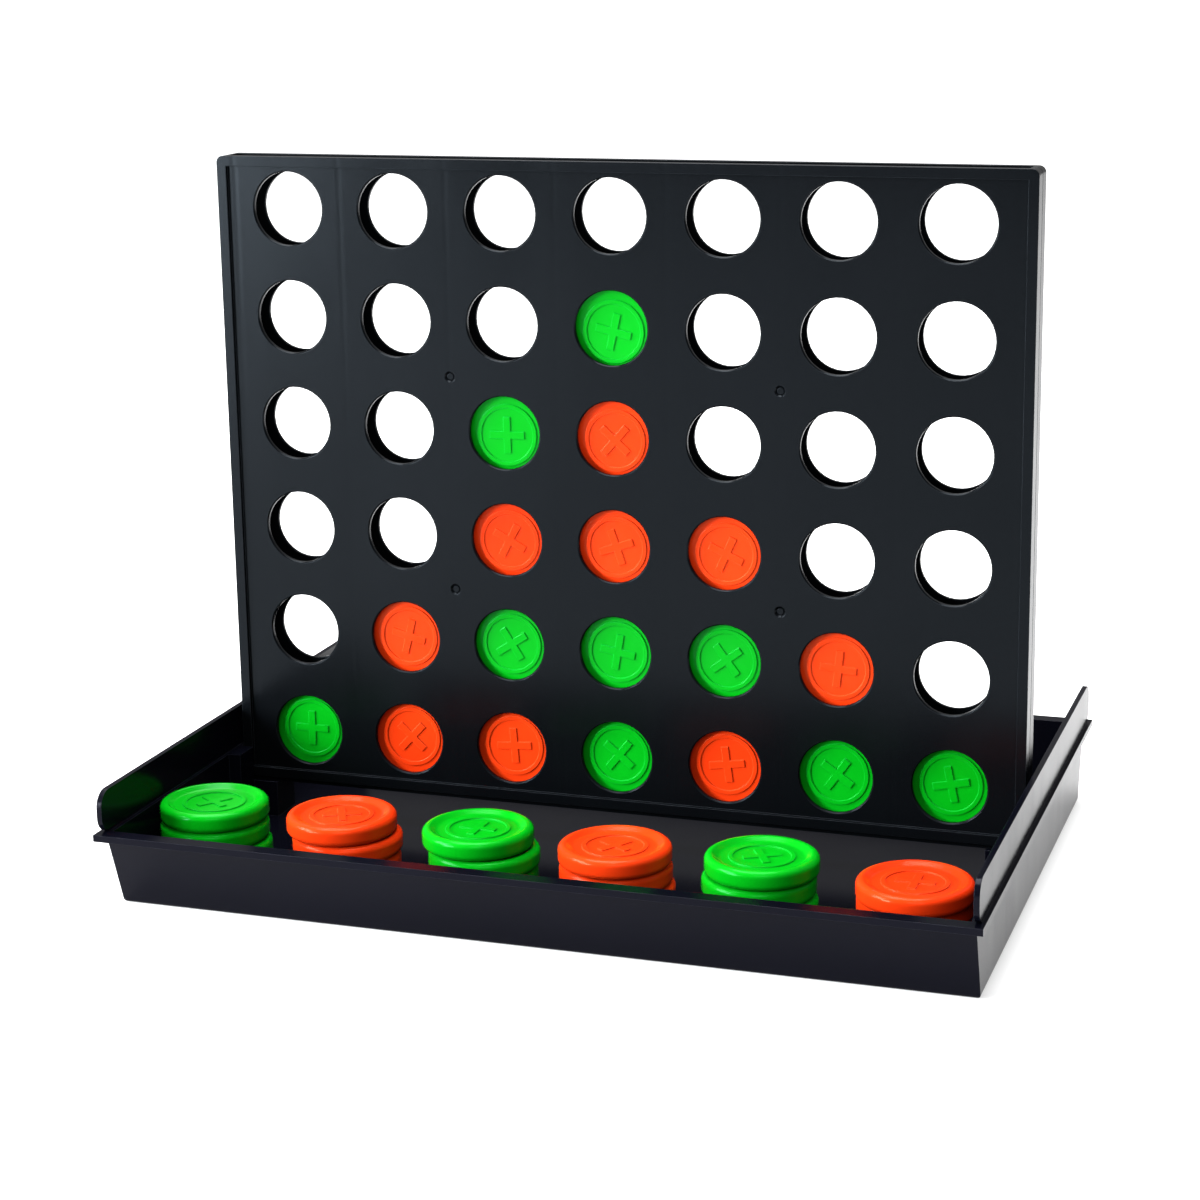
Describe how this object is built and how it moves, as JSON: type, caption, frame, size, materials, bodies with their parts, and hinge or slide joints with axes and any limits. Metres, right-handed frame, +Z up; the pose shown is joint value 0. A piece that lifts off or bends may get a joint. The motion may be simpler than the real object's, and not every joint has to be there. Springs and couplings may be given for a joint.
{
  "type": "four in a row game",
  "caption": "Tabletop connection game: upright black rack with round windows over disc columns, standing in a shallow storage tray with loose green and orange discs.",
  "frame": {"origin": "centre of the tray's underside, on the table", "axes": "+X along the rack's width, +Z up, -Y towards the player who faces the spare discs"},
  "size_m": [0.258, 0.19, 0.2107],
  "materials": {
    "black_plastic": "satin injection-moulded black plastic",
    "green_plastic": "bright green moulded plastic, lightly glossy",
    "orange_plastic": "bright orange-red moulded plastic, lightly glossy"
  },
  "bodies": {
    "tray": {"base_tray": "black_plastic"},
    "rack": {"rack_front_shell": "black_plastic", "rack_rear_shell": "black_plastic"},
    "column1_disc1": {"green_disc_column1_level1": "green_plastic"},
    "column2_disc1": {"orange_disc_column2_level1": "orange_plastic"},
    "column2_disc2": {"orange_disc_column2_level2": "orange_plastic"},
    "column3_disc1": {"orange_disc_column3_level1": "orange_plastic"},
    "column3_disc2": {"green_disc_column3_level2": "green_plastic"},
    "column3_disc3": {"orange_disc_column3_level3": "orange_plastic"},
    "column3_disc4": {"green_disc_column3_level4": "green_plastic"},
    "column4_disc1": {"green_disc_column4_level1": "green_plastic"},
    "column4_disc2": {"green_disc_column4_level2": "green_plastic"},
    "column4_disc3": {"orange_disc_column4_level3": "orange_plastic"},
    "column4_disc4": {"orange_disc_column4_level4": "orange_plastic"},
    "column4_disc5": {"green_disc_column4_level5": "green_plastic"},
    "column5_disc1": {"orange_disc_column5_level1": "orange_plastic"},
    "column5_disc2": {"green_disc_column5_level2": "green_plastic"},
    "column5_disc3": {"orange_disc_column5_level3": "orange_plastic"},
    "column6_disc1": {"green_disc_column6_level1": "green_plastic"},
    "column6_disc2": {"orange_disc_column6_level2": "orange_plastic"},
    "column7_disc1": {"green_disc_column7_level1": "green_plastic"},
    "stack1_disc1": {"green_disc_stack1_level1": "green_plastic"},
    "stack1_disc2": {"green_disc_stack1_level2": "green_plastic"},
    "stack1_disc3": {"green_disc_stack1_level3": "green_plastic"},
    "stack1_disc4": {"green_disc_stack1_level4": "green_plastic"},
    "stack2_disc1": {"orange_disc_stack2_level1": "orange_plastic"},
    "stack2_disc2": {"orange_disc_stack2_level2": "orange_plastic"},
    "stack2_disc3": {"orange_disc_stack2_level3": "orange_plastic"},
    "stack2_disc4": {"orange_disc_stack2_level4": "orange_plastic"},
    "stack3_disc1": {"green_disc_stack3_level1": "green_plastic"},
    "stack3_disc2": {"green_disc_stack3_level2": "green_plastic"},
    "stack3_disc3": {"green_disc_stack3_level3": "green_plastic"},
    "stack3_disc4": {"green_disc_stack3_level4": "green_plastic"},
    "stack4_disc1": {"orange_disc_stack4_level1": "orange_plastic"},
    "stack4_disc2": {"orange_disc_stack4_level2": "orange_plastic"},
    "stack4_disc3": {"orange_disc_stack4_level3": "orange_plastic"},
    "stack4_disc4": {"orange_disc_stack4_level4": "orange_plastic"},
    "stack5_disc1": {"green_disc_stack5_level1": "green_plastic"},
    "stack5_disc2": {"green_disc_stack5_level2": "green_plastic"},
    "stack5_disc3": {"green_disc_stack5_level3": "green_plastic"},
    "stack5_disc4": {"green_disc_stack5_level4": "green_plastic"},
    "stack6_disc1": {"orange_disc_stack6_level1": "orange_plastic"},
    "stack6_disc2": {"orange_disc_stack6_level2": "orange_plastic"},
    "stack6_disc3": {"orange_disc_stack6_level3": "orange_plastic"},
    "stack6_disc4": {"orange_disc_stack6_level4": "orange_plastic"}
  },
  "joints": [
    {"name": "rack_lift", "type": "slide", "parent": "tray", "child": "rack", "axis": [0, 0, 1], "range_m": [0, 0.03]},
    {"name": "column1_disc1_lift", "type": "slide", "parent": "rack", "child": "column1_disc1", "axis": [0, 0, 1], "range_m": [0, 0.2]},
    {"name": "column2_disc1_lift", "type": "slide", "parent": "rack", "child": "column2_disc1", "axis": [0, 0, 1], "range_m": [0, 0.2]},
    {"name": "column2_disc2_lift", "type": "slide", "parent": "column2_disc1", "child": "column2_disc2", "axis": [0, 0, 1], "range_m": [0, 0.167]},
    {"name": "column3_disc1_lift", "type": "slide", "parent": "rack", "child": "column3_disc1", "axis": [0, 0, 1], "range_m": [0, 0.2]},
    {"name": "column3_disc2_lift", "type": "slide", "parent": "column3_disc1", "child": "column3_disc2", "axis": [0, 0, 1], "range_m": [0, 0.167]},
    {"name": "column3_disc3_lift", "type": "slide", "parent": "column3_disc2", "child": "column3_disc3", "axis": [0, 0, 1], "range_m": [0, 0.135]},
    {"name": "column3_disc4_lift", "type": "slide", "parent": "column3_disc3", "child": "column3_disc4", "axis": [0, 0, 1], "range_m": [0, 0.102]},
    {"name": "column4_disc1_lift", "type": "slide", "parent": "rack", "child": "column4_disc1", "axis": [0, 0, 1], "range_m": [0, 0.2]},
    {"name": "column4_disc2_lift", "type": "slide", "parent": "column4_disc1", "child": "column4_disc2", "axis": [0, 0, 1], "range_m": [0, 0.167]},
    {"name": "column4_disc3_lift", "type": "slide", "parent": "column4_disc2", "child": "column4_disc3", "axis": [0, 0, 1], "range_m": [0, 0.135]},
    {"name": "column4_disc4_lift", "type": "slide", "parent": "column4_disc3", "child": "column4_disc4", "axis": [0, 0, 1], "range_m": [0, 0.102]},
    {"name": "column4_disc5_lift", "type": "slide", "parent": "column4_disc4", "child": "column4_disc5", "axis": [0, 0, 1], "range_m": [0, 0.07]},
    {"name": "column5_disc1_lift", "type": "slide", "parent": "rack", "child": "column5_disc1", "axis": [0, 0, 1], "range_m": [0, 0.2]},
    {"name": "column5_disc2_lift", "type": "slide", "parent": "column5_disc1", "child": "column5_disc2", "axis": [0, 0, 1], "range_m": [0, 0.167]},
    {"name": "column5_disc3_lift", "type": "slide", "parent": "column5_disc2", "child": "column5_disc3", "axis": [0, 0, 1], "range_m": [0, 0.135]},
    {"name": "column6_disc1_lift", "type": "slide", "parent": "rack", "child": "column6_disc1", "axis": [0, 0, 1], "range_m": [0, 0.2]},
    {"name": "column6_disc2_lift", "type": "slide", "parent": "column6_disc1", "child": "column6_disc2", "axis": [0, 0, 1], "range_m": [0, 0.167]},
    {"name": "column7_disc1_lift", "type": "slide", "parent": "rack", "child": "column7_disc1", "axis": [0, 0, 1], "range_m": [0, 0.2]},
    {"name": "stack1_disc1_lift", "type": "slide", "parent": "tray", "child": "stack1_disc1", "axis": [0, 0, 1], "range_m": [0, 0.04]},
    {"name": "stack1_disc2_lift", "type": "slide", "parent": "stack1_disc1", "child": "stack1_disc2", "axis": [0, 0, 1], "range_m": [0, 0.04]},
    {"name": "stack1_disc3_lift", "type": "slide", "parent": "stack1_disc2", "child": "stack1_disc3", "axis": [0, 0, 1], "range_m": [0, 0.04]},
    {"name": "stack1_disc4_lift", "type": "slide", "parent": "stack1_disc3", "child": "stack1_disc4", "axis": [0, 0, 1], "range_m": [0, 0.04]},
    {"name": "stack2_disc1_lift", "type": "slide", "parent": "tray", "child": "stack2_disc1", "axis": [0, 0, 1], "range_m": [0, 0.04]},
    {"name": "stack2_disc2_lift", "type": "slide", "parent": "stack2_disc1", "child": "stack2_disc2", "axis": [0, 0, 1], "range_m": [0, 0.04]},
    {"name": "stack2_disc3_lift", "type": "slide", "parent": "stack2_disc2", "child": "stack2_disc3", "axis": [0, 0, 1], "range_m": [0, 0.04]},
    {"name": "stack2_disc4_lift", "type": "slide", "parent": "stack2_disc3", "child": "stack2_disc4", "axis": [0, 0, 1], "range_m": [0, 0.04]},
    {"name": "stack3_disc1_lift", "type": "slide", "parent": "tray", "child": "stack3_disc1", "axis": [0, 0, 1], "range_m": [0, 0.04]},
    {"name": "stack3_disc2_lift", "type": "slide", "parent": "stack3_disc1", "child": "stack3_disc2", "axis": [0, 0, 1], "range_m": [0, 0.04]},
    {"name": "stack3_disc3_lift", "type": "slide", "parent": "stack3_disc2", "child": "stack3_disc3", "axis": [0, 0, 1], "range_m": [0, 0.04]},
    {"name": "stack3_disc4_lift", "type": "slide", "parent": "stack3_disc3", "child": "stack3_disc4", "axis": [0, 0, 1], "range_m": [0, 0.04]},
    {"name": "stack4_disc1_lift", "type": "slide", "parent": "tray", "child": "stack4_disc1", "axis": [0, 0, 1], "range_m": [0, 0.04]},
    {"name": "stack4_disc2_lift", "type": "slide", "parent": "stack4_disc1", "child": "stack4_disc2", "axis": [0, 0, 1], "range_m": [0, 0.04]},
    {"name": "stack4_disc3_lift", "type": "slide", "parent": "stack4_disc2", "child": "stack4_disc3", "axis": [0, 0, 1], "range_m": [0, 0.04]},
    {"name": "stack4_disc4_lift", "type": "slide", "parent": "stack4_disc3", "child": "stack4_disc4", "axis": [0, 0, 1], "range_m": [0, 0.04]},
    {"name": "stack5_disc1_lift", "type": "slide", "parent": "tray", "child": "stack5_disc1", "axis": [0, 0, 1], "range_m": [0, 0.04]},
    {"name": "stack5_disc2_lift", "type": "slide", "parent": "stack5_disc1", "child": "stack5_disc2", "axis": [0, 0, 1], "range_m": [0, 0.04]},
    {"name": "stack5_disc3_lift", "type": "slide", "parent": "stack5_disc2", "child": "stack5_disc3", "axis": [0, 0, 1], "range_m": [0, 0.04]},
    {"name": "stack5_disc4_lift", "type": "slide", "parent": "stack5_disc3", "child": "stack5_disc4", "axis": [0, 0, 1], "range_m": [0, 0.04]},
    {"name": "stack6_disc1_lift", "type": "slide", "parent": "tray", "child": "stack6_disc1", "axis": [0, 0, 1], "range_m": [0, 0.04]},
    {"name": "stack6_disc2_lift", "type": "slide", "parent": "stack6_disc1", "child": "stack6_disc2", "axis": [0, 0, 1], "range_m": [0, 0.04]},
    {"name": "stack6_disc3_lift", "type": "slide", "parent": "stack6_disc2", "child": "stack6_disc3", "axis": [0, 0, 1], "range_m": [0, 0.04]},
    {"name": "stack6_disc4_lift", "type": "slide", "parent": "stack6_disc3", "child": "stack6_disc4", "axis": [0, 0, 1], "range_m": [0, 0.04]}
  ]
}
